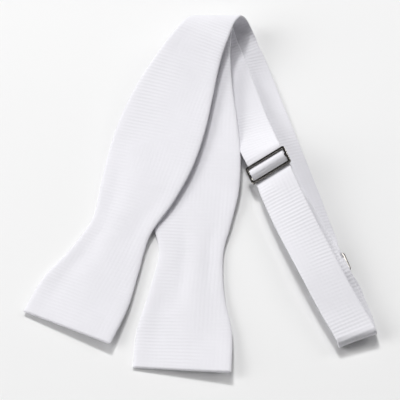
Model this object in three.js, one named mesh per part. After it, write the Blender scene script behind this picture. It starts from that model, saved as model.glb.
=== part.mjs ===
// A white self-tie bow tie, laid folded on a table.
// Two halves, each a flared blade on a narrow neck band, are folded over together at the
// top. Each band runs down to the right, passes through a three-bar slide, turns back at the
// centre back of the neck and is sewn on the slide. The two ends lie on each other there.
// Units are millimetres, +Z is up, +Y runs away from the viewer and +X to the right.

import * as THREE from 'three';

// Cloth
const BLADE_THICKNESS = 2.2;
const BAND_THICKNESS = 1.4;
const BAND_WIDTH = 24;
const FLAT = BAND_THICKNESS / 2; // height of a band's middle where it lies on the table
const PLAIN_STEP = 5; // distance between sections on a plain run
const CLEARANCE = 0.35; // between layers that lie on each other
const STRAIGHT = 1.5; // straight cloth before and after a bend
const CURVE_ROOM = 0.55; // more room over a bar, because the cloth curves over it
const INNER_POINT = 1 / 3; // place of the section's inner points, as a part of its half width
const EDGE_ROUND = 0.35; // how far an edge is rounded, as a part of the thickness

// Metal
const BAR = 1.5; // width and depth of a slide's bars
const SLIDE_LENGTH = 27.6; // across the band
const SLIDE_HEIGHT = 12.6; // along the band
const METAL_BEVEL = 0.3;
const CORNER_RADIUS = 1.2;
const WINDOW_CORNER_RADIUS = 0.8;

// The cut shape of one blade, measured from its free end. Both halves are cut alike.
const BLADE_SHAPE = [
  { along: 0, width: 56.9 },
  { along: 10, width: 57.8 },
  { along: 20, width: 56.8 },
  { along: 35, width: 52.6 },
  { along: 50, width: 45.8 },
  { along: 62, width: 40.4 },
  { along: 72, width: 37.6 },
  { along: 80, width: 38.4 },
  { along: 90, width: 42.4 },
  { along: 105, width: 48.4 },
  { along: 120, width: 52.8 },
  { along: 135, width: 55.2 },
  { along: 150, width: 55.4 },
  { along: 165, width: 53.2 },
  { along: 180, width: 49.2 },
  { along: 195, width: 43.8 },
  { along: 210, width: 38 },
  { along: 225, width: 32.4 },
  { along: 240, width: 28.2 },
  { along: 255, width: 27.8 },
  { along: 270, width: 27.2 },
  { along: 285, width: BAND_WIDTH },
];
const END_SLANT = 3.4; // how much further out the right corner of a blade's end lies
const THICK_UNTIL = 205; // the padding of the blade ends here
const THIN_FROM = 250; // and the band has its own thickness from here

// How the cloth lies: the middle of the band or blade in plan, and the heights of its left
// and right edges, at the middle of its thickness.
const UPPER_BLADE = [
  { x: -76.8, y: -93.1, left: 2.4, right: 5.2 },
  { x: -66.9, y: -68.3, left: 1.8, right: 3.5 },
  { x: -56.4, y: -45.5, left: 1.4, right: 3 },
  { x: -47.2, y: -22, left: 1.6, right: 4 },
  { x: -38.3, y: 1.4, left: 2.4, right: 6.2 },
  { x: -30.5, y: 25.1, left: 4, right: 8.8 },
  { x: -23.6, y: 48.9, left: 6.8, right: 11.8 },
  { x: -16, y: 72.5, left: 11.2, right: 15 },
  { x: -7.5, y: 94, left: 17.2, right: 19 },
  { x: -2.1, y: 105.3, left: 21, right: 21.4 },
];
const UPPER_ROLL = {
  x: 6.5, y: 122, z: 22.9, radius: 11,
  flare: 0, heading: 64, turn: 0, bank: 0, width: 34,
};
const UPPER_BAND = [
  { x: 29.4, y: 109.2, left: 0.9, right: 0.9 },
  { x: 44.5, y: 57.5, left: FLAT, right: FLAT },
  { x: 49.9, y: 39, left: FLAT, right: FLAT },
  { x: 56.4, y: 16.8, left: FLAT, right: FLAT },
  { x: 61.3, y: 0, left: FLAT, right: FLAT },
  { x: 66.3, y: -19.3, left: 0.8, right: 0.8 },
  { x: 70, y: -33, left: 1.8, right: 1.8 },
];
const UPPER_SLIDE = { x: 74.1, y: -51, z: 3.1, heading: -72, bank: 0 };
const UPPER_BAND_END = [
  { x: 80.4, y: -65.5, left: 1.8, right: 1.8 },
  { x: 83.6, y: -74, left: 0.8, right: 0.8 },
];
const UPPER_LOOP = {
  x: 88.5, y: -88.2, z: FLAT, radius: 1.1,
  flare: 0, heading: -71, turn: 19, bank: 0, width: BAND_WIDTH,
};
const UPPER_RETURN = [
  { x: 85, y: -77.5, left: 3.3, right: 3.3 },
  { x: 82.2, y: -69, left: 4.6, right: 4.6 },
];

const LOWER_BLADE = [
  { x: -10.3, y: -121.2, left: 1.2, right: 6.2 },
  { x: -9, y: -94.4, left: 1.2, right: 3.4 },
  { x: -7.8, y: -69.5, left: 1.2, right: 2.2 },
  { x: -5.3, y: -39.6, left: 1.2, right: 2.2 },
  { x: -4.9, y: -19.7, left: 1.2, right: 3.2 },
  { x: -3.2, y: 5.3, left: 1.2, right: 4.6 },
  { x: -2.6, y: 30.3, left: 1.6, right: 7.6 },
  { x: -1.7, y: 55.3, left: 3.6, right: 9.6 },
  { x: 0.1, y: 80.3, left: 8.2, right: 12.2 },
  { x: 3.2, y: 103, left: 13.6, right: 15 },
];
const LOWER_ROLL = {
  x: 6, y: 118, z: 16.2, radius: 6.5,
  flare: 0, heading: 84, turn: 7.4, bank: 0, width: 34,
};
const LOWER_BAND = [
  { x: 19.6, y: 95, left: 4, right: 5.2 },
  { x: 29.6, y: 57.8, left: 5.2, right: 6.6 },
  { x: 33.4, y: 44.5, left: 6, right: 8.8 },
  { x: 36.4, y: 31.6, left: 7.8, right: 14.8 },
];
const LOWER_SLIDE = { x: 41.2, y: 15.4, z: 14.6, heading: -70, bank: 27 };
const LOWER_BAND_END = [
  { x: 46.6, y: 0.8, left: 9.2, right: 18.8 },
  { x: 50.4, y: -9.6, left: 9.4, right: 17.4 },
  { x: 55.7, y: -23.6, left: 9.8, right: 15.6 },
  { x: 64.4, y: -44.6, left: 10.5, right: 13 },
  { x: 71.4, y: -61.4, left: 10.9, right: 11.6 },
  { x: 75.9, y: -71.8, left: 10.1, right: 10.7 },
  { x: 80.8, y: -82.6, left: 9.2, right: 9.7 },
  { x: 84.9, y: -91, left: 8.8, right: 9.1 },
];
const LOWER_LOOP = {
  x: 88.8, y: -99.5, z: 8.6, radius: 2.8,
  flare: -0.065, heading: -66, turn: 16, bank: 1.5, width: BAND_WIDTH,
};
const LOWER_RETURN = [
  { x: 88.6, y: -91.2, left: 4.6, right: 4.9 },
  { x: 86.2, y: -85.2, left: 4.8, right: 5.1 },
  { x: 80.3, y: -70.5, left: 6.5, right: 6.8 },
  { x: 75.6, y: -61.5, left: 8.9, right: 9.7 },
  { x: 68.3, y: -44.4, left: 8, right: 11.1 },
  { x: 58.9, y: -22.6, left: 6.6, right: 13.6 },
  { x: 51.2, y: -8, left: 6.4, right: 14.6 },
];

// From the place the tables are measured from to the middle of the part's base.
const TO_BASE_MIDDLE = { x: 0.51, y: -4.7, z: 0.03 };

const COTTON_WHITE = 0xf1f0f4;
const NICKEL = 0xc9c9cc;

const radians = (degrees) => (degrees * Math.PI) / 180;
const UP = new THREE.Vector3(0, 0, 1);

// Values of a short table between its rows, on a smooth curve that never overshoots a row.
function between(rows, key, along) {
  if (along <= rows[0].along) return rows[0][key];
  const last = rows.length - 1;
  if (along >= rows[last].along) return rows[last][key];
  const i = rows.findIndex((row) => row.along > along) - 1;
  const slope = (n) => {
    if (n < 1 || n >= last) return 0;
    const before = (rows[n][key] - rows[n - 1][key]) / (rows[n].along - rows[n - 1].along);
    const after = (rows[n + 1][key] - rows[n][key]) / (rows[n + 1].along - rows[n].along);
    return before * after <= 0 ? 0 : (2 * before * after) / (before + after);
  };
  const span = rows[i + 1].along - rows[i].along;
  const t = (along - rows[i].along) / span;
  const keep = 2 * t ** 3 - 3 * t ** 2 + 1;
  const start = (t ** 3 - 2 * t ** 2 + t) * span;
  const end = (t ** 3 - t ** 2) * span;
  return keep * rows[i][key] + (1 - keep) * rows[i + 1][key]
    + start * slope(i) + end * slope(i + 1);
}

function thicknessAt(along) {
  const t = THREE.MathUtils.smoothstep(along, THICK_UNTIL, THIN_FROM);
  return THREE.MathUtils.lerp(BLADE_THICKNESS, BAND_THICKNESS, t);
}

// A station is one place along the cloth. Its at() gives the point that lies a distance to
// the right of the cloth's middle line there, for cloth of that width.
function level(centre, across, rise = 0) {
  const at = (offset, width) => centre.clone()
    .addScaledVector(across, (offset * Math.sqrt(width * width - rise * rise)) / width)
    .addScaledVector(UP, (offset * rise) / width);
  return { at };
}

function layOut(rows) {
  return rows.map((row, i) => {
    const before = rows[Math.max(i - 1, 0)];
    const after = rows[Math.min(i + 1, rows.length - 1)];
    const run = new THREE.Vector3(after.x - before.x, after.y - before.y, 0).normalize();
    const across = new THREE.Vector3().crossVectors(run, UP);
    if (across.x < 0) across.negate();
    const centre = new THREE.Vector3(row.x, row.y, (row.left + row.right) / 2);
    return level(centre, across, row.right - row.left);
  });
}

// A level direction at an angle from the X axis.
function direction(degrees) {
  return new THREE.Vector3(Math.cos(radians(degrees)), Math.sin(radians(degrees)), 0);
}

// The line that a bend turns round: it points right, turned by an angle and raised by its bank.
function bendAxis(bend) {
  const bank = radians(bend.bank);
  return direction(bend.turn).multiplyScalar(Math.cos(bank)).addScaledVector(UP, Math.sin(bank));
}

// The cloth turning over a round bend, from the direction it comes in to the way back. The
// cloth may cross the bend's axis at a slant. curl says whether it turns up or down, and the
// bend's flare how much its radius grows for each millimetre along the axis.
function turnOver(bend, curl, steps) {
  const axis = bendAxis(bend);
  const start = new THREE.Vector3(bend.x, bend.y, bend.z);
  const run = direction(bend.heading);
  const slant = run.dot(axis);
  const lead = Math.sqrt(1 - slant * slant);
  const out = run.clone().addScaledVector(axis, -slant).normalize();
  const inward = new THREE.Vector3().crossVectors(out, axis);
  inward.multiplyScalar(curl * Math.sign(inward.z));
  const folded = (forward, aside) => {
    const radius = bend.radius + bend.flare * aside;
    const angle = THREE.MathUtils.clamp(forward / radius, 0, Math.PI);
    const straight = Math.min(forward, 0) - Math.max(forward - Math.PI * radius, 0);
    return start.clone()
      .addScaledVector(out, radius * Math.sin(angle) + straight)
      .addScaledVector(inward, radius * (1 - Math.cos(angle)))
      .addScaledVector(axis, aside);
  };
  const margin = (bend.width * Math.abs(slant)) / (2 * lead);
  const length = (Math.PI * bend.radius) / lead + 2 * margin;
  const places = [-margin - STRAIGHT];
  for (let i = 0; i <= steps; i += 1) places.push((length * i) / steps - margin);
  places.push(length - margin + STRAIGHT);
  return places.map((along) => ({
    at: (offset) => folded(along * lead - offset * slant, along * slant + offset * lead),
  }));
}

// Where a slide lies: its middle, the way along the band, the way across it and its upper side.
function slideFrame(slide) {
  const bank = radians(slide.bank);
  const along = direction(slide.heading);
  const across = new THREE.Vector3().crossVectors(UP, along)
    .multiplyScalar(Math.cos(bank)).addScaledVector(UP, Math.sin(bank));
  const upper = new THREE.Vector3().crossVectors(along, across);
  return { middle: new THREE.Vector3(slide.x, slide.y, slide.z), along, across, upper };
}

// The cloth weaving through a slide. Each row is a place along the band and the height of
// the cloth over the slide's middle plane there.
function weave(slide, rows) {
  const frame = slideFrame(slide);
  return rows.map((row) => level(
    frame.middle.clone().addScaledVector(frame.along, row.along)
      .addScaledVector(frame.upper, row.height),
    frame.across));
}

const BAR_PITCH = (SLIDE_HEIGHT - BAR) / 2; // from the middle bar to an outer bar
const OVER_BAR = BAR / 2 + BAND_THICKNESS / 2 + CLEARANCE + CURVE_ROOM;
const NEXT_LAYER = BAND_THICKNESS + CLEARANCE;
const LEAD_IN = 4.5; // from an outer bar to where the cloth is on its way again

// Over the middle bar for the lower half, under it for the upper half.
function through(side) {
  return [
    { along: -BAR_PITCH - LEAD_IN, height: -0.5 * side * OVER_BAR },
    { along: -BAR_PITCH, height: -side * OVER_BAR },
    { along: -BAR_PITCH / 2, height: 0 },
    { along: 0, height: side * OVER_BAR },
    { along: BAR_PITCH / 2, height: 0 },
    { along: BAR_PITCH, height: -side * OVER_BAR },
    { along: BAR_PITCH + LEAD_IN, height: -0.5 * side * OVER_BAR },
  ];
}

// The band's end comes back along its other side and stops on the middle bar.
function sewnOn(side) {
  return [
    { along: BAR_PITCH + LEAD_IN, height: -side * (OVER_BAR + NEXT_LAYER) },
    { along: BAR_PITCH, height: -side * (OVER_BAR + NEXT_LAYER) },
    { along: BAR_PITCH / 2, height: -side * (OVER_BAR + NEXT_LAYER / 2) },
    { along: -BAR, height: -side * OVER_BAR },
  ];
}

// Gives every station the width and thickness that the cloth has there. The free end slants.
function dress(stations) {
  let along = 0;
  let before = null;
  const rows = stations.map(({ at }) => {
    const middle = at(0, BAND_WIDTH);
    if (before) along += middle.distanceTo(before);
    before = middle;
    const width = between(BLADE_SHAPE, 'width', along);
    return {
      left: at(-width / 2, width),
      middle,
      right: at(width / 2, width),
      width,
      thickness: thicknessAt(along),
    };
  });
  const out = rows[0].middle.clone().sub(rows[1].middle).normalize();
  rows[0].left.addScaledVector(out, -END_SLANT / 2);
  rows[0].right.addScaledVector(out, END_SLANT / 2);
  return rows;
}

// The section of the cloth: a strip with rounded edges. across is the place between the
// edges, from -1 to 1, round says that a point of an edge is drawn in, side is up or down.
const SECTION = [
  { across: -1, round: 1, side: -1 },
  { across: -INNER_POINT, round: 0, side: -1 },
  { across: INNER_POINT, round: 0, side: -1 },
  { across: 1, round: 1, side: -1 },
  { across: 1, round: 0, side: 0 },
  { across: 1, round: 1, side: 1 },
  { across: INNER_POINT, round: 0, side: 1 },
  { across: -INNER_POINT, round: 0, side: 1 },
  { across: -1, round: 1, side: 1 },
  { across: -1, round: 0, side: 0 },
];

// A value across the cloth from its values at the left edge, the middle and the right edge.
function acrossFrom(values, place) {
  return new THREE.Vector3()
    .addScaledVector(values[0], (place * (place - 1)) / 2)
    .addScaledVector(values[1], 1 - place * place)
    .addScaledVector(values[2], (place * (place + 1)) / 2);
}

function slopeAcross(values, place) {
  return new THREE.Vector3()
    .addScaledVector(values[0], place - 0.5)
    .addScaledVector(values[1], -2 * place)
    .addScaledVector(values[2], place + 0.5);
}

function ribbon(stations) {
  const rows = dress(stations);
  const last = rows.length - 1;
  const lines = ['left', 'middle', 'right'].map(
    (key) => new THREE.CatmullRomCurve3(rows.map((row) => row[key]), false, 'centripetal'));
  const places = [0];
  for (let i = 0; i < last; i += 1) {
    const length = Math.max(
      rows[i].left.distanceTo(rows[i + 1].left), rows[i].right.distanceTo(rows[i + 1].right));
    const steps = Math.max(1, Math.round(length / PLAIN_STEP));
    for (let k = 1; k <= steps; k += 1) places.push(i + k / steps);
  }
  const points = [];
  for (const place of places) {
    const i = Math.min(Math.floor(place), last - 1);
    const width = THREE.MathUtils.lerp(rows[i].width, rows[i + 1].width, place - i);
    const thickness = THREE.MathUtils.lerp(
      rows[i].thickness, rows[i + 1].thickness, place - i);
    const edge = 1 - (2 * EDGE_ROUND * thickness) / width;
    const values = lines.map((line) => line.getPoint(place / last));
    const runs = lines.map((line) => line.getTangent(place / last));
    for (const corner of SECTION) {
      const across = corner.across * (corner.round ? edge : 1);
      const upper = new THREE.Vector3()
        .crossVectors(slopeAcross(values, across), acrossFrom(runs, across)).normalize();
      points.push(acrossFrom(values, across)
        .addScaledVector(upper, (corner.side * thickness) / 2));
    }
  }
  return skin(points, places.length, SECTION.length);
}

// A closed skin over rings of points, with flat ends.
function skin(points, rings, around) {
  const triangles = [];
  for (let i = 0; i + 1 < rings; i += 1) {
    for (let k = 0; k < around; k += 1) {
      const next = (k + 1) % around;
      const a = i * around + k;
      const b = i * around + next;
      const c = (i + 1) * around + next;
      const d = (i + 1) * around + k;
      triangles.push(a, c, b, a, d, c);
    }
  }
  const final = (rings - 1) * around;
  for (let k = 1; k + 1 < around; k += 1) {
    triangles.push(0, k, k + 1);
    triangles.push(final, final + k + 1, final + k);
  }
  const geometry = new THREE.BufferGeometry();
  const positions = points.flatMap((point) => [point.x, point.y, point.z]);
  geometry.setAttribute('position', new THREE.Float32BufferAttribute(positions, 3));
  geometry.setIndex(triangles);
  geometry.computeVertexNormals();
  return geometry;
}

function upperHalf() {
  return ribbon([
    ...layOut(UPPER_BLADE),
    ...turnOver(UPPER_ROLL, -1, 16),
    ...layOut(UPPER_BAND),
    ...weave(UPPER_SLIDE, through(-1)),
    ...layOut(UPPER_BAND_END),
    ...turnOver(UPPER_LOOP, 1, 8),
    ...layOut(UPPER_RETURN),
    ...weave(UPPER_SLIDE, sewnOn(-1)),
  ]);
}

function lowerHalf() {
  return ribbon([
    ...layOut(LOWER_BLADE),
    ...turnOver(LOWER_ROLL, -1, 14),
    ...layOut(LOWER_BAND),
    ...weave(LOWER_SLIDE, through(1)),
    ...layOut(LOWER_BAND_END),
    ...turnOver(LOWER_LOOP, -1, 10),
    ...layOut(LOWER_RETURN),
    ...weave(LOWER_SLIDE, sewnOn(1)),
  ]);
}

// A rectangle with rounded corners, as an outline or as a hole.
function rounded(path, centreY, width, height, radius) {
  const x = width / 2 - radius;
  const y = height / 2 - radius;
  path.moveTo(-x, centreY - y - radius);
  path.lineTo(x, centreY - y - radius);
  path.absarc(x, centreY - y, radius, -Math.PI / 2, 0);
  path.lineTo(x + radius, centreY + y);
  path.absarc(x, centreY + y, radius, 0, Math.PI / 2);
  path.lineTo(-x, centreY + y + radius);
  path.absarc(-x, centreY + y, radius, Math.PI / 2, Math.PI);
  path.lineTo(-x - radius, centreY - y);
  path.absarc(-x, centreY - y, radius, Math.PI, 1.5 * Math.PI);
  return path;
}

// The flat wire frame of a slide, with two windows, lying in its own X-Y plane.
function wireFrame() {
  const shape = rounded(new THREE.Shape(), 0,
    SLIDE_LENGTH - 2 * METAL_BEVEL, SLIDE_HEIGHT - 2 * METAL_BEVEL, CORNER_RADIUS);
  const windowHeight = BAR_PITCH - BAR + 2 * METAL_BEVEL;
  const windowWidth = SLIDE_LENGTH - 2 * BAR + 2 * METAL_BEVEL;
  for (const centreY of [-BAR_PITCH / 2, BAR_PITCH / 2]) {
    shape.holes.push(
      rounded(new THREE.Path(), centreY, windowWidth, windowHeight, WINDOW_CORNER_RADIUS));
  }
  const geometry = new THREE.ExtrudeGeometry(shape, {
    depth: BAR - 2 * METAL_BEVEL,
    bevelEnabled: true,
    bevelSize: METAL_BEVEL,
    bevelThickness: METAL_BEVEL,
    bevelSegments: 1,
    curveSegments: 4,
  });
  geometry.translate(0, 0, -BAR / 2 + METAL_BEVEL);
  return geometry;
}

function metal() {
  return new THREE.MeshStandardMaterial({ color: NICKEL, roughness: 0.15, metalness: 1 });
}

function cloth() {
  return new THREE.MeshStandardMaterial({ color: COTTON_WHITE, roughness: 0.9, metalness: 0 });
}

function named(name, geometry, material) {
  const mesh = new THREE.Mesh(geometry, material);
  mesh.name = name;
  return mesh;
}

// Turns a frame that lies flat so that its X runs across the band.
function seat(mesh, middle, across, along) {
  const upper = new THREE.Vector3().crossVectors(across, along.clone().negate());
  const basis = new THREE.Matrix4().makeBasis(across, along.clone().negate(), upper);
  mesh.quaternion.setFromRotationMatrix(basis);
  mesh.position.copy(middle);
  return mesh;
}

function slideOn(name, slide) {
  const frame = slideFrame(slide);
  const mesh = named(name, wireFrame(), metal());
  return seat(mesh, frame.middle, frame.across, frame.along);
}

const bowTie = new THREE.Group();
bowTie.position.copy(TO_BASE_MIDDLE);
bowTie.add(
  named('bow_half_upper', upperHalf(), cloth()),
  named('bow_half_lower', lowerHalf(), cloth()),
  slideOn('slide_adjuster_upper', UPPER_SLIDE),
  slideOn('slide_adjuster_lower', LOWER_SLIDE),
);

export default bowTie;
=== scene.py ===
"""A white cotton bow tie of the self-tie kind, lying folded on a pale table.

Each half is one long strip: a flared blade, a narrow neck band that passes through a slide, and
the band's end that turns back at the centre back of the neck and is sewn on the slide. The
strips are laid out in mesh code from short tables, in millimetres. The slides are modelled with
Blender's own tools. The table and the lights are a plain studio.
"""

import math

import bmesh
import bpy
import numpy as np
from bpy.props import FloatProperty, FloatVectorProperty, IntProperty, PointerProperty
from mathutils import Matrix, Vector


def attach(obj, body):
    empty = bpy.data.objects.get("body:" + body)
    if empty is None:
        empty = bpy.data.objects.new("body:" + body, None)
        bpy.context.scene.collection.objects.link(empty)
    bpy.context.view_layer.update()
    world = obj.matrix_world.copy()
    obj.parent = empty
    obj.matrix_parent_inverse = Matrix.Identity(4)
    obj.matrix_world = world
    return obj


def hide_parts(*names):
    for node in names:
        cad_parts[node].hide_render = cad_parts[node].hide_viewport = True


bl_info = {
    "name": "Folded Bow Tie",
    "version": (1, 0, 0),
    "blender": (4, 5, 0),
    "location": "3D View > Sidebar > Bow Tie",
    "description": "Builds a folded white bow tie with its slides and a studio",
    "category": "Add Mesh",
}

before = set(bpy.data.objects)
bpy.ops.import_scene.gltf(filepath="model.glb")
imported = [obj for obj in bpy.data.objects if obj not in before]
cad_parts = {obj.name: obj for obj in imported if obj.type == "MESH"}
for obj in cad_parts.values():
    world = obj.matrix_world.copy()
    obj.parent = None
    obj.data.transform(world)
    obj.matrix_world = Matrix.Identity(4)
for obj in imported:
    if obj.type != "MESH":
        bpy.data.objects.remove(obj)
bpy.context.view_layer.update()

MM = 0.001
UP = Vector((0, 0, 1))

# Colours, as sRGB hex values.
COTTON_WHITE = "#ecebf0"
NICKEL_GREY = "#807d79"
LAMINATE_WHITE = "#f0f0f0"
ROOM_WHITE = "#ffffff"

# From the place that the tables are measured from to the middle of the part's base.
TO_BASE_MIDDLE = Vector((0.51, -4.7, 0.03))

# Cloth
BLADE_THICKNESS = 2.2
BAND_THICKNESS = 1.4
BAND_WIDTH = 24
FLAT = BAND_THICKNESS / 2  # height of a band's middle where it lies on the table
CLEARANCE = 0.35  # between layers that lie on each other
STRAIGHT = 1.5  # straight cloth before and after a bend
CURVE_ROOM = 0.55  # more room over a bar, because the cloth curves over it

# Metal
BAR = 1.5
SLIDE_LENGTH = 27.6
SLIDE_HEIGHT = 12.6

# The cut shape of one blade, as distances from its free end and widths there.
SHAPE_ALONG = (0, 10, 20, 35, 50, 62, 72, 80, 90, 105, 120, 135, 150, 165, 180, 195, 210, 225, 240,
               255, 270, 285)
SHAPE_WIDTH = (56.9, 57.8, 56.8, 52.6, 45.8, 40.4, 37.6, 38.4, 42.4, 48.4, 52.8, 55.2, 55.4, 53.2,
               49.2, 43.8, 38, 32.4, 28.2, 27.8, 27.2, BAND_WIDTH)
END_SLANT = 3.4  # how much further out the right corner of a blade's end lies
THICK_UNTIL = 205  # the padding of the blade ends here
THIN_FROM = 250  # and the band has its own thickness from here

# How the cloth lies. Each row is x and y of its middle and the heights of its left and right
# edges.
UPPER_BLADE = (
    (-76.8, -93.1, 2.4, 5.2),
    (-66.9, -68.3, 1.8, 3.5),
    (-56.4, -45.5, 1.4, 3),
    (-47.2, -22, 1.6, 4),
    (-38.3, 1.4, 2.4, 6.2),
    (-30.5, 25.1, 4, 8.8),
    (-23.6, 48.9, 6.8, 11.8),
    (-16, 72.5, 11.2, 15),
    (-7.5, 94, 17.2, 19),
    (-2.1, 105.3, 21, 21.4),
)
UPPER_ROLL = {
    "x": 6.5, "y": 122, "z": 22.9, "radius": 11,
    "flare": 0, "heading": 64, "turn": 0, "bank": 0, "width": 34,
}
UPPER_BAND = (
    (29.4, 109.2, 0.9, 0.9),
    (44.5, 57.5, FLAT, FLAT),
    (49.9, 39, FLAT, FLAT),
    (56.4, 16.8, FLAT, FLAT),
    (61.3, 0, FLAT, FLAT),
    (66.3, -19.3, 0.8, 0.8),
    (70, -33, 1.8, 1.8),
)
UPPER_SLIDE = {"x": 74.1, "y": -51, "z": 3.1, "heading": -72, "bank": 0}
UPPER_BAND_END = (
    (80.4, -65.5, 1.8, 1.8),
    (83.6, -74, 0.8, 0.8),
)
UPPER_LOOP = {
    "x": 88.5, "y": -88.2, "z": FLAT, "radius": 1.1,
    "flare": 0, "heading": -71, "turn": 19, "bank": 0, "width": BAND_WIDTH,
}
UPPER_RETURN = (
    (85, -77.5, 3.3, 3.3),
    (82.2, -69, 4.6, 4.6),
)

LOWER_BLADE = (
    (-10.3, -121.2, 1.2, 6.2),
    (-9, -94.4, 1.2, 3.4),
    (-7.8, -69.5, 1.2, 2.2),
    (-5.3, -39.6, 1.2, 2.2),
    (-4.9, -19.7, 1.2, 3.2),
    (-3.2, 5.3, 1.2, 4.6),
    (-2.6, 30.3, 1.6, 7.6),
    (-1.7, 55.3, 3.6, 9.6),
    (0.1, 80.3, 8.2, 12.2),
    (3.2, 103, 13.6, 15),
)
LOWER_ROLL = {
    "x": 6, "y": 118, "z": 16.2, "radius": 6.5,
    "flare": 0, "heading": 84, "turn": 7.4, "bank": 0, "width": 34,
}
LOWER_BAND = (
    (19.6, 95, 4, 5.2),
    (29.6, 57.8, 5.2, 6.6),
    (33.4, 44.5, 6, 8.8),
    (36.4, 31.6, 7.8, 14.8),
)
LOWER_SLIDE = {"x": 41.2, "y": 15.4, "z": 14.6, "heading": -70, "bank": 27}
LOWER_BAND_END = (
    (46.6, 0.8, 9.2, 18.8),
    (50.4, -9.6, 9.4, 17.4),
    (55.7, -23.6, 9.8, 15.6),
    (64.4, -44.6, 10.5, 13),
    (71.4, -61.4, 10.9, 11.6),
    (75.9, -71.8, 10.1, 10.7),
    (80.8, -82.6, 9.2, 9.7),
    (84.9, -91, 8.8, 9.1),
)
LOWER_LOOP = {
    "x": 88.8, "y": -99.5, "z": 8.6, "radius": 2.8,
    "flare": -0.065, "heading": -66, "turn": 16, "bank": 1.5, "width": BAND_WIDTH,
}
LOWER_RETURN = (
    (88.6, -91.2, 4.6, 4.9),
    (86.2, -85.2, 4.8, 5.1),
    (80.3, -70.5, 6.5, 6.8),
    (75.6, -61.5, 8.9, 9.7),
    (68.3, -44.4, 8, 11.1),
    (58.9, -22.6, 6.6, 13.6),
    (51.2, -8, 6.4, 14.6),
)

# Soft hollows and swells in the blades: where their middle line starts and ends along the
# blade, where it lies across the blade there (from -1 to 1), how wide it is and how high.
UPPER_FOLDS = (
    {"from": 4, "to": 118, "start": -0.62, "end": -0.55, "wide": 6.5, "high": -0.75},
    {"from": 30, "to": 150, "start": -0.30, "end": -0.25, "wide": 9, "high": 0.45},
    {"from": 62, "to": 112, "start": 0.45, "end": 0.62, "wide": 6, "high": -0.4},
)
LOWER_FOLDS = (
    {"from": 38, "to": 110, "start": -0.22, "end": -0.18, "wide": 4.5, "high": -0.55},
    {"from": 52, "to": 104, "start": 0.62, "end": 0.55, "wide": 4, "high": -0.5},
    {"from": 0, "to": 60, "start": -0.62, "end": -0.5, "wide": 6, "high": -0.4},
    {"from": 20, "to": 90, "start": 0.22, "end": 0.2, "wide": 7, "high": 0.35},
)

# How far along each half a patch of clear cords lies.
UPPER_CREST = 282
LOWER_CREST = 413


def linear(colour):
    """An sRGB hex colour turned to the linear values that a shader works with."""
    shares = [int(colour[i:i + 2], 16) / 255 for i in (1, 3, 5)]
    return [c / 12.92 if c <= 0.04045 else ((c + 0.055) / 1.055) ** 2.4 for c in shares]


class ClothSettings(bpy.types.PropertyGroup):
    step: FloatProperty(
        name="Mesh Step", description="Distance between sections of the cloth, in millimetres",
        default=1.5, min=0.5, max=5)
    columns: IntProperty(
        name="Columns", description="Faces across one side of the cloth",
        default=26, min=6, max=60)
    white: FloatVectorProperty(
        name="Cotton", description="Colour of the bleached cotton",
        subtype="COLOR", size=3, default=linear(COTTON_WHITE), min=0, max=1)
    cord_pitch: FloatProperty(
        name="Cord Pitch",
        description="Distance between the cords across the strip, in millimetres",
        default=2.35, min=0.5, max=4)
    cell_pitch: FloatProperty(
        name="Cell Pitch", description="Distance between the lines along the strip, in millimetres",
        default=2.4, min=0.5, max=4)


class MetalSettings(bpy.types.PropertyGroup):
    rounding: FloatProperty(
        name="Rounding", description="Radius of the bars' edges", subtype="DISTANCE", unit="LENGTH",
        default=0.66 * MM, min=0, max=0.7 * MM)
    nickel: FloatVectorProperty(
        name="Nickel", description="Colour of the polished nickel",
        subtype="COLOR", size=3, default=linear(NICKEL_GREY), min=0, max=1)
    roughness: FloatProperty(
        name="Roughness", description="Roughness of the polish", default=0.1, min=0, max=1)


class StageSettings(bpy.types.PropertyGroup):
    table: FloatVectorProperty(
        name="Table", description="Colour of the table",
        subtype="COLOR", size=3, default=linear(LAMINATE_WHITE), min=0, max=1)
    brightness: FloatProperty(
        name="Brightness", description="Strength of all the lamps together",
        default=1, min=0, max=5)
    sky: FloatProperty(
        name="Room Light", description="Strength of the even light from all round",
        default=0.09, min=0, max=2)
    tilt: FloatProperty(
        name="Camera Tilt", description="Angle of the view from straight down",
        subtype="ANGLE", unit="ROTATION", default=math.radians(35.5))
    field: FloatProperty(
        name="Field of View", description="Angle that the picture takes in",
        subtype="ANGLE", unit="ROTATION", default=math.radians(12))
    distance: FloatProperty(
        name="Camera Distance", description="From the camera to the table's middle",
        subtype="DISTANCE", unit="LENGTH", default=1.1533)


def direction(degrees):
    """A level direction at an angle from the X axis."""
    return Vector((math.cos(math.radians(degrees)), math.sin(math.radians(degrees)), 0))


def smoothstep(value, low, high):
    t = np.clip((value - low) / (high - low), 0, 1)
    return t * t * (3 - 2 * t)


def blade_width(along):
    """The cut width at a distance from the free end, on a curve that never overshoots."""
    rows, last = SHAPE_ALONG, len(SHAPE_ALONG) - 1
    if along <= rows[0]:
        return SHAPE_WIDTH[0]
    if along >= rows[last]:
        return SHAPE_WIDTH[last]
    i = next(n for n in range(last) if rows[n + 1] > along)

    def slope(n):
        if n < 1 or n >= last:
            return 0
        before = (SHAPE_WIDTH[n] - SHAPE_WIDTH[n - 1]) / (rows[n] - rows[n - 1])
        after = (SHAPE_WIDTH[n + 1] - SHAPE_WIDTH[n]) / (rows[n + 1] - rows[n])
        return 0 if before * after <= 0 else 2 * before * after / (before + after)

    span = rows[i + 1] - rows[i]
    t = (along - rows[i]) / span
    keep = 2 * t**3 - 3 * t**2 + 1
    start = (t**3 - 2 * t**2 + t) * span
    end = (t**3 - t**2) * span
    return (keep * SHAPE_WIDTH[i] + (1 - keep) * SHAPE_WIDTH[i + 1]
            + start * slope(i) + end * slope(i + 1))


def thickness_at(along):
    share = smoothstep(along, THICK_UNTIL, THIN_FROM)
    return BLADE_THICKNESS + (BAND_THICKNESS - BLADE_THICKNESS) * share


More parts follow.
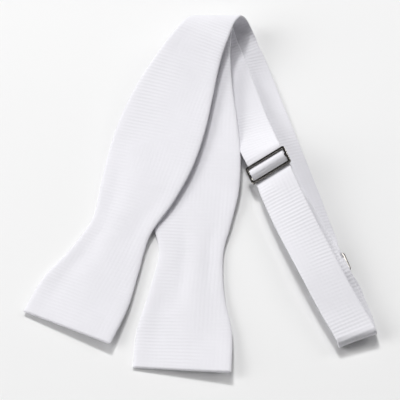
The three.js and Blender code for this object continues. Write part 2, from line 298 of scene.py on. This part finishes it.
def level(centre, across, rise=0):
    """A station: a function from a distance right of the middle line to a point."""
    def at(offset, width):
        flat = math.sqrt(width * width - rise * rise) / width
        return centre + across * (offset * flat) + UP * (offset * rise / width)
    return at


def lay_out(rows):
    stations = []
    for i, (x, y, left, right) in enumerate(rows):
        before, after = rows[max(i - 1, 0)], rows[min(i + 1, len(rows) - 1)]
        run = Vector((after[0] - before[0], after[1] - before[1], 0)).normalized()
        across = run.cross(UP)
        if across.x < 0:
            across.negate()
        stations.append(level(Vector((x, y, (left + right) / 2)), across, right - left))
    return stations


def bend_axis(bend):
    """The line that a bend turns round: turned from the X axis and raised by its bank."""
    bank = math.radians(bend["bank"])
    return direction(bend["turn"]) * math.cos(bank) + UP * math.sin(bank)


def turn_over(bend, curl, steps):
    """The cloth turning over a round bend, which it may cross at a slant.

    The bend's flare is how much its radius grows for each millimetre along the axis.
    """
    axis = bend_axis(bend)
    start = Vector((bend["x"], bend["y"], bend["z"]))
    run = direction(bend["heading"])
    slant = run.dot(axis)
    lead = math.sqrt(1 - slant * slant)
    out = (run - axis * slant).normalized()
    inward = out.cross(axis)
    inward *= curl * math.copysign(1, inward.z)

    def folded(forward, aside):
        radius = bend["radius"] + bend["flare"] * aside
        angle = min(max(forward / radius, 0), math.pi)
        straight = min(forward, 0) - max(forward - math.pi * radius, 0)
        return (start + out * (radius * math.sin(angle) + straight)
                + inward * (radius * (1 - math.cos(angle))) + axis * aside)

    margin = bend["width"] * abs(slant) / (2 * lead)
    length = math.pi * bend["radius"] / lead + 2 * margin
    places = [-margin - STRAIGHT]
    places += [length * i / steps - margin for i in range(steps + 1)]
    places.append(length - margin + STRAIGHT)

    def station(along):
        return lambda offset, width: folded(
            along * lead - offset * slant, along * slant + offset * lead)
    return [station(along) for along in places]


def slide_frame(slide):
    """The middle of a slide, the way along the band, the way across it and its upper side."""
    bank = math.radians(slide["bank"])
    along = direction(slide["heading"])
    across = UP.cross(along) * math.cos(bank) + UP * math.sin(bank)
    return Vector((slide["x"], slide["y"], slide["z"])), along, across, along.cross(across)


BAR_PITCH = (SLIDE_HEIGHT - BAR) / 2  # from the middle bar to an outer bar
OVER_BAR = BAR / 2 + BAND_THICKNESS / 2 + CLEARANCE + CURVE_ROOM
NEXT_LAYER = BAND_THICKNESS + CLEARANCE
LEAD_IN = 4.5  # from an outer bar to where the cloth is on its way again


def weave(slide, rows):
    """The cloth weaving through a slide, from places along it and heights over its plane."""
    middle, along, across, upper = slide_frame(slide)
    return [level(middle + along * place + upper * height, across) for place, height in rows]


def through(side):
    """Over the middle bar for the lower half, under it for the upper half."""
    return (
        (-BAR_PITCH - LEAD_IN, -0.5 * side * OVER_BAR),
        (-BAR_PITCH, -side * OVER_BAR),
        (-BAR_PITCH / 2, 0),
        (0, side * OVER_BAR),
        (BAR_PITCH / 2, 0),
        (BAR_PITCH, -side * OVER_BAR),
        (BAR_PITCH + LEAD_IN, -0.5 * side * OVER_BAR),
    )


def sewn_on(side):
    """The band's end comes back along its other side and stops on the middle bar."""
    return (
        (BAR_PITCH + LEAD_IN, -side * (OVER_BAR + NEXT_LAYER)),
        (BAR_PITCH, -side * (OVER_BAR + NEXT_LAYER)),
        (BAR_PITCH / 2, -side * (OVER_BAR + NEXT_LAYER / 2)),
        (-BAR, -side * OVER_BAR),
    )


def dress(stations):
    """The left edge, middle and right edge at every station, with the thickness there.

    The free end is cut at a slant.
    """
    along, before, lines, thick = 0, None, ([], [], []), []
    for at in stations:
        middle = at(0, BAND_WIDTH)
        if before is not None:
            along += (middle - before).length
        before = middle
        width = blade_width(along)
        for line, offset in zip(lines, (-width / 2, 0, width / 2)):
            line.append(at(offset, width))
        thick.append(thickness_at(along))
    left, middle, right = (np.array(line) for line in lines)
    out = (middle[0] - middle[1]) / np.linalg.norm(middle[0] - middle[1])
    left[0] -= out * END_SLANT / 2
    right[0] += out * END_SLANT / 2
    return [left, middle, right], np.array(thick)


def smooth_line(rows, places):
    """Points and directions on a centripetal Catmull-Rom curve through the rows."""
    last = len(rows) - 1
    i = np.minimum(np.floor(places).astype(int), last - 1)
    t = (places - i)[:, None]
    padded = np.vstack([2 * rows[0] - rows[1], rows, 2 * rows[last] - rows[last - 1]])
    p0, p1, p2, p3 = (padded[i + n] for n in range(4))
    d0, d1, d2 = (np.sqrt(np.linalg.norm(b - a, axis=1))[:, None]
                  for a, b in ((p0, p1), (p1, p2), (p2, p3)))
    m1 = ((p1 - p0) / d0 - (p2 - p0) / (d0 + d1) + (p2 - p1) / d1) * d1
    m2 = ((p2 - p1) / d1 - (p3 - p1) / (d1 + d2) + (p3 - p2) / d2) * d1
    c2 = -3 * p1 + 3 * p2 - 2 * m1 - m2
    c3 = 2 * p1 - 2 * p2 + m1 + m2
    points = p1 + m1 * t + c2 * t**2 + c3 * t**3
    runs = m1 + 2 * c2 * t + 3 * c3 * t**2
    return points, runs / np.linalg.norm(runs, axis=1)[:, None]


def fold_relief(folds, along, across, width):
    """The height of the soft hollows and swells at places along and across the cloth."""
    height = np.zeros(np.broadcast(along, across).shape)
    for fold in folds:
        share = np.clip((along - fold["from"]) / (fold["to"] - fold["from"]), 0, 1)
        middle = fold["start"] + (fold["end"] - fold["start"]) * share
        fade = np.sin(np.pi * share) ** 0.7
        distance = (across - middle) * width / 2
        height = height + fold["high"] * fade * np.exp(-((distance / fold["wide"]) ** 2))
    return height


UNEVENNESS = 0.11  # how high the slow unevenness of a blade is
PUCKER_HEIGHT = 0.05
PUCKER_PITCH = 6.4  # from one pucker along a seam to the next
PUCKER_REACH = 3.2  # how far in from the edge the puckers fade


def hand_relief(along, across, width, seed):
    """Slow unevenness of pressed cotton, strongest in the blades, and puckers at the seams."""
    blade = 1 - smoothstep(along, THICK_UNTIL - 30, THIN_FROM)
    offset = across * width / 2
    slow = (np.sin(along / 17 + seed) * np.sin(offset / 11 + 1.7 * seed)
            + 0.6 * np.sin(along / 8.3 + offset / 14 + 2.3 * seed))
    to_edge = width / 2 - np.abs(offset)
    near_seam = np.exp(-((to_edge / PUCKER_REACH) ** 2))
    pucker = near_seam * np.sin(along * 2 * np.pi / PUCKER_PITCH + 3 * np.sin(along / 9))
    return UNEVENNESS * slow * blade + PUCKER_HEIGHT * pucker * (0.35 + 0.65 * blade)


EDGE_STEPS = 9  # points round each edge of the cloth
BLADE_ROUND = 3.2  # how far in from its edge the padded blade is rounded
BAND_ROUND = 0.9  # and the band
END_SECTIONS = (0.12, 0.35, 0.75)  # more sections, this far in from the blade's end
END_ROUND = 0.75  # how far in from its end the blade is rounded
END_LEAST = 0.2  # and the least square of its thickness there, as a share
SEAM_DEPTH = 0.16  # the groove where the two layers meet at an edge
SEAM_ANGLE = 14  # how far round the edge the groove reaches, in degrees
ALLOWANCE = 7.5  # width of the seam allowance that lies inside each edge
PLUMP = 0.09  # how much thinner the cloth is where no allowance lies in it


def cloth_section(columns):
    """Round a section: where each point lies, as (column share, edge angle or None, side)."""
    flat = np.linspace(-1, 1, columns + 1)
    turn = np.linspace(-90, 90, EDGE_STEPS + 2)[1:-1]
    return (
        [(share, None, -1) for share in flat]
        + [(1, angle, 1) for angle in turn]
        + [(share, None, 1) for share in flat[::-1]]
        + [(-1, angle, 1) for angle in turn[::-1]]
    )


def cloth_mesh(name, stations, folds, seed, settings):
    """The strip as one closed mesh, with a UV map in metres across and along the cloth."""
    rows, thick = dress(stations)
    last = len(thick) - 1
    places = [0.0]
    for i in range(last):
        length = max(np.linalg.norm(rows[k][i + 1] - rows[k][i]) for k in (0, 2))
        steps = max(2, round(length / settings.step))
        places += [i + k / steps for k in range(1, steps + 1)]
    first_length = np.linalg.norm(rows[1][1] - rows[1][0])
    places = np.array(sorted(places + [d / first_length for d in END_SECTIONS]))
    lines, runs = zip(*(smooth_line(row, places) for row in rows))
    thickness = np.interp(places, np.arange(last + 1), thick)
    along = np.concatenate([[0], np.cumsum(np.linalg.norm(np.diff(lines[1], axis=0), axis=1))])
    width = (np.linalg.norm(lines[2] - lines[1], axis=1)
             + np.linalg.norm(lines[1] - lines[0], axis=1))
    from_end = np.minimum(along / END_ROUND, 1)
    end_round = np.sqrt(np.clip(1 - (1 - from_end) ** 2, END_LEAST, 1))

    padding = (thickness - BAND_THICKNESS) / (BLADE_THICKNESS - BAND_THICKNESS)
    radius = BAND_ROUND + (BLADE_ROUND - BAND_ROUND) * padding

    rings, uvs = [], []
    section = cloth_section(settings.columns)
    for share, angle, side in section:
        edge = width / 2 - radius
        if angle is None:
            offset = share * edge
            rise = side * np.ones_like(width)
        else:
            groove = SEAM_DEPTH * math.exp(-((angle / SEAM_ANGLE) ** 2))
            offset = share * (edge + radius * math.cos(math.radians(angle)) - groove)
            rise = math.sin(math.radians(angle)) * np.ones_like(width)
        a = offset / (width / 2)
        weights = (a * (a - 1) / 2, 1 - a * a, a * (a + 1) / 2)
        slopes = (a - 0.5, -2 * a, a + 0.5)
        middle = sum(w[:, None] * line for w, line in zip(weights, lines))
        across = sum(s[:, None] * line for s, line in zip(slopes, lines))
        run = sum(w[:, None] * r for w, r in zip(weights, runs))
        upper = np.cross(across, run)
        upper /= np.linalg.norm(upper, axis=1)[:, None]
        inside = smoothstep(width / 2 - np.abs(offset), ALLOWANCE - 1, ALLOWANCE + 1)
        half = thickness / 2 * (1 - PLUMP * inside) * end_round
        lift = fold_relief(folds, along, a, width) + hand_relief(along, a, width, seed)
        rings.append(middle + upper * (half * rise + lift)[:, None])
        uvs.append(np.stack([offset, along], axis=1) * MM)
    points = np.stack(rings, axis=1)
    uv = np.stack(uvs, axis=1)

    count, around = points.shape[:2]
    ring, k = np.meshgrid(np.arange(count - 1), np.arange(around), indexing="ij")
    after = (k + 1) % around
    near, far = ring * around, (ring + 1) * around
    faces = np.stack([near + k, far + k, far + after, near + after], axis=-1)
    faces = faces.reshape(-1, 4).tolist()
    faces += end_wall(around, 0, False) + end_wall(around, (count - 1) * around, True)
    placed = (points.reshape(-1, 3) + np.array(TO_BASE_MIDDLE)) * MM
    mesh = bpy.data.meshes.new(name)
    mesh.from_pydata(placed.tolist(), [], faces)
    layer = mesh.uv_layers.new(name="cloth")
    corner = np.empty(len(mesh.loops), dtype=np.int32)
    mesh.loops.foreach_get("vertex_index", corner)
    layer.data.foreach_set("uv", uv.reshape(-1, 2)[corner].astype(np.float32).ravel())
    mesh.validate()
    mesh.polygons.foreach_set("use_smooth", [True] * len(mesh.polygons))
    mesh.update()
    cloth = bpy.data.objects.new(name, mesh)
    bpy.context.collection.objects.link(cloth)
    return cloth, along, width


def end_wall(around, first, far):
    """Faces that close an end of the strip, as a ladder between its two sides."""
    flat = (around - 2 * EDGE_STEPS) // 2
    below = list(range(flat))
    above = [2 * flat + EDGE_STEPS - 1 - i for i in range(flat)]
    right = list(range(flat - 1, flat + EDGE_STEPS + 1))
    left = [0] + [around - 1 - i for i in range(EDGE_STEPS)] + [above[0]]
    faces = [[below[i], below[i + 1], above[i + 1], above[i]] for i in range(flat - 1)]
    faces.append(right)
    faces.append(left[::-1])
    if far:
        faces = [face[::-1] for face in faces]
    return [[first + i for i in face] for face in faces]


def shaded(colour, share=1):
    """A linear colour at a share of its light, with the alpha that a shader's colour has."""
    return (*(value * share for value in colour), 1)


def add_node(material, kind, settings=None, inputs=None):
    """Adds a node, sets its properties, and fills or links its inputs."""
    tree = material.node_tree
    node = tree.nodes.new(kind)
    for key, value in (settings or {}).items():
        setattr(node, key, value)
    for key, value in (inputs or {}).items():
        if isinstance(value, bpy.types.NodeSocket):
            tree.links.new(value, node.inputs[key])
        else:
            node.inputs[key].default_value = value
    return node


def new_material(name):
    material = bpy.data.materials.new(name)
    material.use_nodes = True
    material.node_tree.nodes.clear()
    return material


# The weave and its unevenness, in millimetres
THREAD_PITCH = 0.6
CORD_PATCHES = 73  # from one patch of clear cords on a band to the next
PATCH_SIZE = 35.7  # of the irregular patches
WANDER_SIZE = 9.09  # over which the woven lines wander
MOTTLE_SIZE = 22.2  # of the slightly greyer places
WEAVE_DEPTH = 0.28

# Shares of the weave's full height
FADED_CORDS = 0.12  # between the patches of clear cords
PADDED_CORDS = 0.55  # on the padded blade
BAND_CORDS = 0.85  # on the band
CLEAR_LINES = 0.25  # of the lines along the strip, where the cords are faded
FADED_LINES = 0.05  # and where they are clear
THREADS = 0.05

GAP_PAINTED_SHADE = 0.955  # painted shade: the share of light painted into the gaps between the cords, against their tops
MOTTLE_LIGHT = 0.975  # how much light the greyer places give back, against the clean cloth


def pique_cotton(settings, crest):
    """Bleached cotton pique: fine cords across the strip, crossed by fainter lines along it.

    The raised cords and lines are made by a bump, and the gaps between them are painted a
    little darker as painted shade, so the white cloth looks matt and faintly ribbed. The real
    threads, about 0.25 mm, are too fine to show, so they are drawn 0.6 mm apart. On the unpadded
    band the cords stand out more, and most in patches, one of which lies at the crest's distance
    along the strip.
    """
    material = new_material("white_cotton_pique")
    place = add_node(material, "ShaderNodeUVMap", {"uv_map": "cloth"}).outputs["UV"]
    split = add_node(material, "ShaderNodeSeparateXYZ", None, {"Vector": place})
    across, along = split.outputs["X"], split.outputs["Y"]

    def maths(operation, *values):
        return add_node(material, "ShaderNodeMath", {"operation": operation},
                        dict(enumerate(values))).outputs[0]

    def noise(size, detail, roughness):
        return add_node(
            material, "ShaderNodeTexNoise", {"noise_dimensions": "2D"},
            {"Vector": place, "Scale": 1 / (size * MM), "Detail": detail,
             "Roughness": roughness}).outputs["Fac"]

    def remap(value, low, high, to_low, to_high):
        return add_node(
            material, "ShaderNodeMapRange", None,
            {"Value": value, "From Min": low, "From Max": high, "To Min": to_low,
             "To Max": to_high}).outputs["Result"]

    uneven = noise(WANDER_SIZE, 2, 0.5)

    def ripple(share, pitch, wander):
        turns = maths("MULTIPLY", share, 2 * math.pi / (pitch * MM))
        wave = maths("SINE", maths("MULTIPLY_ADD", uneven, wander, turns))
        return maths("MULTIPLY_ADD", wave, 0.5, 0.5)

    on_band = remap(along, THICK_UNTIL * MM, THIN_FROM * MM, 0, 1)
    turn = 2 * math.pi / CORD_PATCHES
    swell = maths("COSINE", maths("MULTIPLY_ADD", along, turn / MM, -turn * crest))
    patches = maths(
        "MULTIPLY_ADD", maths("MULTIPLY", swell, on_band), 0.14, noise(PATCH_SIZE, 1, 0.5))
    cord_share = maths(
        "MULTIPLY", remap(patches, 0.4, 0.6, FADED_CORDS, 1),
        maths("MULTIPLY_ADD", on_band, BAND_CORDS - PADDED_CORDS, PADDED_CORDS))
    cords = maths("MULTIPLY", ripple(along, settings.cord_pitch, 1.2), cord_share)
    cell_share = remap(patches, 0.38, 0.62, CLEAR_LINES, FADED_LINES)
    waffle = maths("MULTIPLY_ADD", ripple(across, settings.cell_pitch, 1.2), cell_share, cords)
    height = maths("MULTIPLY_ADD", ripple(across, THREAD_PITCH, 2), THREADS, waffle)
    relief = add_node(
        material, "ShaderNodeBump", None,
        {"Strength": 0.5, "Distance": WEAVE_DEPTH * MM, "Height": height}).outputs["Normal"]
    # The gaps of the weave are painted darker than the tops: painted shade.
    weave_painted_shade = add_node(
        material, "ShaderNodeMix", {"data_type": "RGBA"},
        {"Factor": remap(waffle, 0, 1.3, 0, 1), "A": shaded(settings.white, GAP_PAINTED_SHADE),
         "B": shaded(settings.white)}).outputs["Result"]
    colour = add_node(
        material, "ShaderNodeVectorMath", {"operation": "SCALE"},
        {0: weave_painted_shade,
         "Scale": remap(noise(MOTTLE_SIZE, 3, 0.6), 0.3, 0.7, MOTTLE_LIGHT, 1)}).outputs["Vector"]
    surface = add_node(
        material, "ShaderNodeBsdfPrincipled", None,
        {"Base Color": colour, "Roughness": 0.88, "IOR": 1.5, "Specular IOR Level": 0.25,
         "Sheen Weight": 0.12, "Sheen Roughness": 0.5, "Normal": relief})
    add_node(material, "ShaderNodeOutputMaterial", None, {"Surface": surface.outputs["BSDF"]})
    return material


WEAR_SIZE = 1.11  # of the faint wear on the nickel, in millimetres
WORN_LIGHT = 0.855  # how much light the worn metal gives back, against the polished


def polished_nickel(settings):
    """Nickel plate on pressed steel wire, polished: bright, a touch warm, with faint wear."""
    material = new_material("polished_nickel_plate")
    place = add_node(material, "ShaderNodeTexCoord").outputs["Object"]
    wear = add_node(
        material, "ShaderNodeTexNoise", None,
        {"Vector": place, "Scale": 1 / (WEAR_SIZE * MM), "Detail": 4,
         "Roughness": 0.65}).outputs["Fac"]
    haze = add_node(
        material, "ShaderNodeMapRange", None,
        {"Value": wear, "From Min": 0.35, "From Max": 0.7, "To Min": settings.roughness,
         "To Max": settings.roughness + 0.06}).outputs["Result"]
    colour = add_node(
        material, "ShaderNodeMix", {"data_type": "RGBA"},
        {"Factor": wear, "A": shaded(settings.nickel),
         "B": shaded(settings.nickel, WORN_LIGHT)}).outputs["Result"]
    scratches = add_node(
        material, "ShaderNodeBump", None,
        {"Strength": 0.05, "Distance": 0.02 * MM, "Height": wear}).outputs["Normal"]
    surface = add_node(
        material, "ShaderNodeBsdfPrincipled", None,
        {"Base Color": colour, "Metallic": 1.0, "Roughness": haze, "Normal": scratches})
    add_node(material, "ShaderNodeOutputMaterial", None, {"Surface": surface.outputs["BSDF"]})
    return material


CLOUD_SIZE = 167  # of the barely greyer places of the table, in millimetres
CLOUD_LIGHT = 0.9775  # how much light they give back, against the rest


def matt_board(settings):
    """Matt white laminate: even and pale, with a barely uneven tone."""
    material = new_material("matt_white_laminate")
    place = add_node(material, "ShaderNodeTexCoord").outputs["Object"]
    tone = add_node(
        material, "ShaderNodeTexNoise", None,
        {"Vector": place, "Scale": 1 / (CLOUD_SIZE * MM), "Detail": 2,
         "Roughness": 0.5}).outputs["Fac"]
    colour = add_node(
        material, "ShaderNodeMix", {"data_type": "RGBA"},
        {"Factor": tone, "A": shaded(settings.table),
         "B": shaded(settings.table, CLOUD_LIGHT)}).outputs["Result"]
    surface = add_node(
        material, "ShaderNodeBsdfPrincipled", None,
        {"Base Color": colour, "Roughness": 0.7, "Specular IOR Level": 0.2})
    add_node(material, "ShaderNodeOutputMaterial", None, {"Surface": surface.outputs["BSDF"]})
    return material


def upper_stations():
    return [
        *lay_out(UPPER_BLADE),
        *turn_over(UPPER_ROLL, -1, 16),
        *lay_out(UPPER_BAND),
        *weave(UPPER_SLIDE, through(-1)),
        *lay_out(UPPER_BAND_END),
        *turn_over(UPPER_LOOP, 1, 8),
        *lay_out(UPPER_RETURN),
        *weave(UPPER_SLIDE, sewn_on(-1)),
    ]


def lower_stations():
    return [
        *lay_out(LOWER_BLADE),
        *turn_over(LOWER_ROLL, -1, 14),
        *lay_out(LOWER_BAND),
        *weave(LOWER_SLIDE, through(1)),
        *lay_out(LOWER_BAND_END),
        *turn_over(LOWER_LOOP, -1, 10),
        *lay_out(LOWER_RETURN),
        *weave(LOWER_SLIDE, sewn_on(1)),
    ]


def make_half(context, name, node, stations, folds, seed, crest):
    """Makes one half of the tie and dresses it."""
    settings = context.scene.bow_tie_cloth
    cloth, along, width = cloth_mesh(name, stations, folds, seed, settings)
    cloth.data.materials.append(pique_cotton(settings, crest))
    area = float(np.trapz(width, along))
    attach(cloth, "root")
    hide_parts(node)
    return cloth


def choose_faces(mesh, test):
    """Selects the faces that pass a test on their centre and normal."""
    bm = bmesh.from_edit_mesh(mesh)
    for face in bm.faces:
        face.select_set(test(face.calc_center_median(), face.normal))
    bm.select_flush_mode()
    bmesh.update_edit_mesh(mesh)


def choose_edges(mesh, test):
    """Selects the edges that pass a test on their two ends."""
    bpy.ops.mesh.select_mode(type="EDGE")
    bm = bmesh.from_edit_mesh(mesh)
    for edge in bm.edges:
        edge.select_set(test(edge.verts[0].co, edge.verts[1].co))
    bmesh.update_edit_mesh(mesh)


WINDOWS = 2  # in a slide, with a bar between them
NEAR = 1e-6  # metres, to find edges that lie in a plane


def upright(a, b):
    return abs(a.x - b.x) < NEAR and abs(a.y - b.y) < NEAR


def wire_frame(name, settings, place):
    """A flat frame with its windows, made from a bar of metal and set in its place."""
    length, height, bar = SLIDE_LENGTH * MM, SLIDE_HEIGHT * MM, BAR * MM
    bpy.ops.object.select_all(action="DESELECT")
    bpy.ops.mesh.primitive_cube_add(size=1, scale=(length, height, bar))
    piece = bpy.context.active_object
    piece.name = piece.data.name = name
    bpy.ops.object.transform_apply(location=True, rotation=True, scale=True)
    pitch = BAR_PITCH * MM
    cuts = [((side * (length / 2 - bar), 0, 0), (1, 0, 0)) for side in (-1, 1)]
    for i in range(WINDOWS + 1):
        middle = (i - WINDOWS / 2) * pitch
        cuts += [((0, middle + side * bar / 2, 0), (0, 1, 0)) for side in (-1, 1)
                 if abs(middle + side * bar / 2) < height / 2 - bar / 4]
    bpy.ops.object.mode_set(mode="EDIT")
    for point, normal in cuts:
        bpy.ops.mesh.select_all(action="SELECT")
        bpy.ops.mesh.bisect(plane_co=point, plane_no=normal, threshold=1e-7)
    bpy.ops.mesh.select_mode(type="FACE")
    for i in range(WINDOWS):
        middle = (i - (WINDOWS - 1) / 2) * pitch

        def window(centre, normal):
            level_face = abs(normal.z) > 0.9
            return (level_face and abs(centre.x) < length / 2 - bar
                    and abs(centre.y - middle) < (pitch - bar) / 2)
        choose_faces(piece.data, window)
        bpy.ops.mesh.bridge_edge_loops()

    def corner(a, b):
        outer = abs(a.x) > length / 2 - NEAR and abs(a.y) > height / 2 - NEAR
        return upright(a, b) and outer
    choose_edges(piece.data, corner)
    bpy.ops.mesh.bevel(offset=0.9 * bar, segments=6, affect="EDGES")

    def window_corner(a, b):
        return upright(a, b) and abs(abs(a.x) - (length / 2 - bar)) < NEAR
    choose_edges(piece.data, window_corner)
    bpy.ops.mesh.bevel(offset=0.4 * bar, segments=4, affect="EDGES")
    bpy.ops.object.mode_set(mode="OBJECT")
    rounding = piece.modifiers.new("rounded edges", "BEVEL")
    rounding.width = settings.rounding
    rounding.segments = 4
    rounding.limit_method = "ANGLE"
    rounding.angle_limit = math.radians(40)
    bpy.ops.object.modifier_apply(modifier=rounding.name)
    bpy.ops.object.shade_smooth_by_angle(angle=math.radians(35))
    piece.matrix_world = place
    bpy.ops.object.transform_apply(location=True, rotation=True, scale=True)
    piece.data.materials.append(polished_nickel(settings))
    return piece


def place_matrix(middle, across, along):
    """Sets a frame's X across the band and its Y against the way along it, in metres."""
    upper = across.cross(-along)
    turned = Matrix((across, -along, upper)).transposed().to_4x4()
    return Matrix.Translation((middle + TO_BASE_MIDDLE) * MM) @ turned


def hand_over(piece, node):
    """Lets a metal piece stand for its solid and ride with the part."""
    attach(piece, "root")
    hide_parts(node)


class BOWTIE_OT_upper_half(bpy.types.Operator):
    """Lay out the half whose blade lies on top"""
    bl_idname = "bow_tie.upper_half"
    bl_label = "Upper Half"

    def execute(self, context):
        make_half(context, "upper_half", "bow_half_upper", upper_stations(), UPPER_FOLDS, 0.4,
                  UPPER_CREST)
        return {"FINISHED"}


class BOWTIE_OT_lower_half(bpy.types.Operator):
    """Lay out the half whose blade lies underneath"""
    bl_idname = "bow_tie.lower_half"
    bl_label = "Lower Half"

    def execute(self, context):
        make_half(context, "lower_half", "bow_half_lower", lower_stations(), LOWER_FOLDS, 2.1,
                  LOWER_CREST)
        return {"FINISHED"}


class BOWTIE_OT_slides(bpy.types.Operator):
    """Make the three-bar slide on each neck band"""
    bl_idname = "bow_tie.slides"
    bl_label = "Slides"

    def execute(self, context):
        for half, slide in (("upper", UPPER_SLIDE), ("lower", LOWER_SLIDE)):
            middle, along, across, _ = slide_frame(slide)
            piece = wire_frame(
                f"{half}_slide", context.scene.bow_tie_metal,
                place_matrix(middle, across, along))
            hand_over(piece, f"slide_adjuster_{half}")
        return {"FINISHED"}


# The lamps: name, the way towards it, distance and size in metres, and power in watts.
LIGHTS = (
    ("spot_behind", (-0.16, 0.57, 0.80), 3.0, 0.46, 35),
    ("softbox_behind", (-0.05, 0.5, 0.86), 3.0, 1.5, 30),
    ("window_left", (-0.80, 0.0, 0.60), 3.0, 1.6, 26),
    ("softbox_right", (0.72, 0.35, 0.60), 3.0, 1.4, 14),
    ("left_fill", (-0.87, -0.28, 0.40), 3.0, 1.6, 22),
    ("front_fill", (-0.3, -0.89, 0.342), 3.0, 1.4, 2),
)


class BOWTIE_OT_stage(bpy.types.Operator):
    """Set up the table, the lights and the camera"""
    bl_idname = "bow_tie.stage"
    bl_label = "Studio"

    def execute(self, context):
        settings = context.scene.bow_tie_stage
        aim = Vector((TO_BASE_MIDDLE.x, TO_BASE_MIDDLE.y, 0)) * MM

        bpy.ops.object.select_all(action="DESELECT")
        bpy.ops.mesh.primitive_plane_add(size=6)
        table = context.active_object
        table.name = table.data.name = "table"
        table.data.materials.append(matt_board(settings))

        for name, way, distance, size, power in LIGHTS:
            lamp = bpy.data.lights.new(name, "AREA")
            lamp.shape = "DISK"
            lamp.size = size
            lamp.energy = power * settings.brightness
            holder = bpy.data.objects.new(name, lamp)
            context.collection.objects.link(holder)
            away = Vector(way).normalized()
            holder.location = aim + away * distance
            holder.rotation_euler = away.to_track_quat("Z", "Y").to_euler()

        world = bpy.data.worlds.new("room")
        world.use_nodes = True
        background = world.node_tree.nodes["Background"]
        background.inputs["Color"].default_value = shaded(linear(ROOM_WHITE))
        background.inputs["Strength"].default_value = settings.sky
        context.scene.world = world
        context.scene.view_settings.view_transform = "Standard"

        lens = bpy.data.cameras.new("camera")
        lens.sensor_fit = "HORIZONTAL"
        lens.angle = settings.field
        lens.clip_start = 0.05
        lens.clip_end = 20
        camera = bpy.data.objects.new("camera", lens)
        context.collection.objects.link(camera)
        back = Vector((0, -math.sin(settings.tilt), math.cos(settings.tilt)))
        camera.location = aim + back * settings.distance
        camera.rotation_euler = (settings.tilt, 0, 0)
        context.scene.camera = camera
        return {"FINISHED"}


class BOWTIE_PT_panel(bpy.types.Panel):
    """Lists the bow tie's settings and the tools that make its pieces"""
    bl_idname = "BOWTIE_PT_panel"
    bl_label = "Bow Tie"
    bl_space_type = "VIEW_3D"
    bl_region_type = "UI"
    bl_category = "Bow Tie"

    def draw(self, context):
        groups = (
            ("Cloth", context.scene.bow_tie_cloth, (BOWTIE_OT_upper_half, BOWTIE_OT_lower_half)),
            ("Metal", context.scene.bow_tie_metal, (BOWTIE_OT_slides,)),
            ("Studio", context.scene.bow_tie_stage, (BOWTIE_OT_stage,)),
        )
        for title, settings, tools in groups:
            box = self.layout.box()
            box.label(text=title)
            for key in settings.__annotations__:
                box.prop(settings, key)
            for tool in tools:
                box.operator(tool.bl_idname)


SETTINGS = (
    ("bow_tie_cloth", ClothSettings),
    ("bow_tie_metal", MetalSettings),
    ("bow_tie_stage", StageSettings),
)
TOOLS = (
    BOWTIE_OT_stage,
    BOWTIE_OT_upper_half,
    BOWTIE_OT_lower_half,
    BOWTIE_OT_slides,
)


def register():
    for name, group in SETTINGS:
        bpy.utils.register_class(group)
        setattr(bpy.types.Scene, name, PointerProperty(type=group))
    for tool in TOOLS:
        bpy.utils.register_class(tool)
    bpy.utils.register_class(BOWTIE_PT_panel)


def unregister():
    bpy.utils.unregister_class(BOWTIE_PT_panel)
    for tool in reversed(TOOLS):
        bpy.utils.unregister_class(tool)
    for name, group in reversed(SETTINGS):
        delattr(bpy.types.Scene, name)
        bpy.utils.unregister_class(group)


def main():
    register()
    bpy.ops.bow_tie.stage()
    bpy.ops.bow_tie.upper_half()
    bpy.ops.bow_tie.lower_half()
    bpy.ops.bow_tie.slides()


if __name__ == "__main__":
    main()
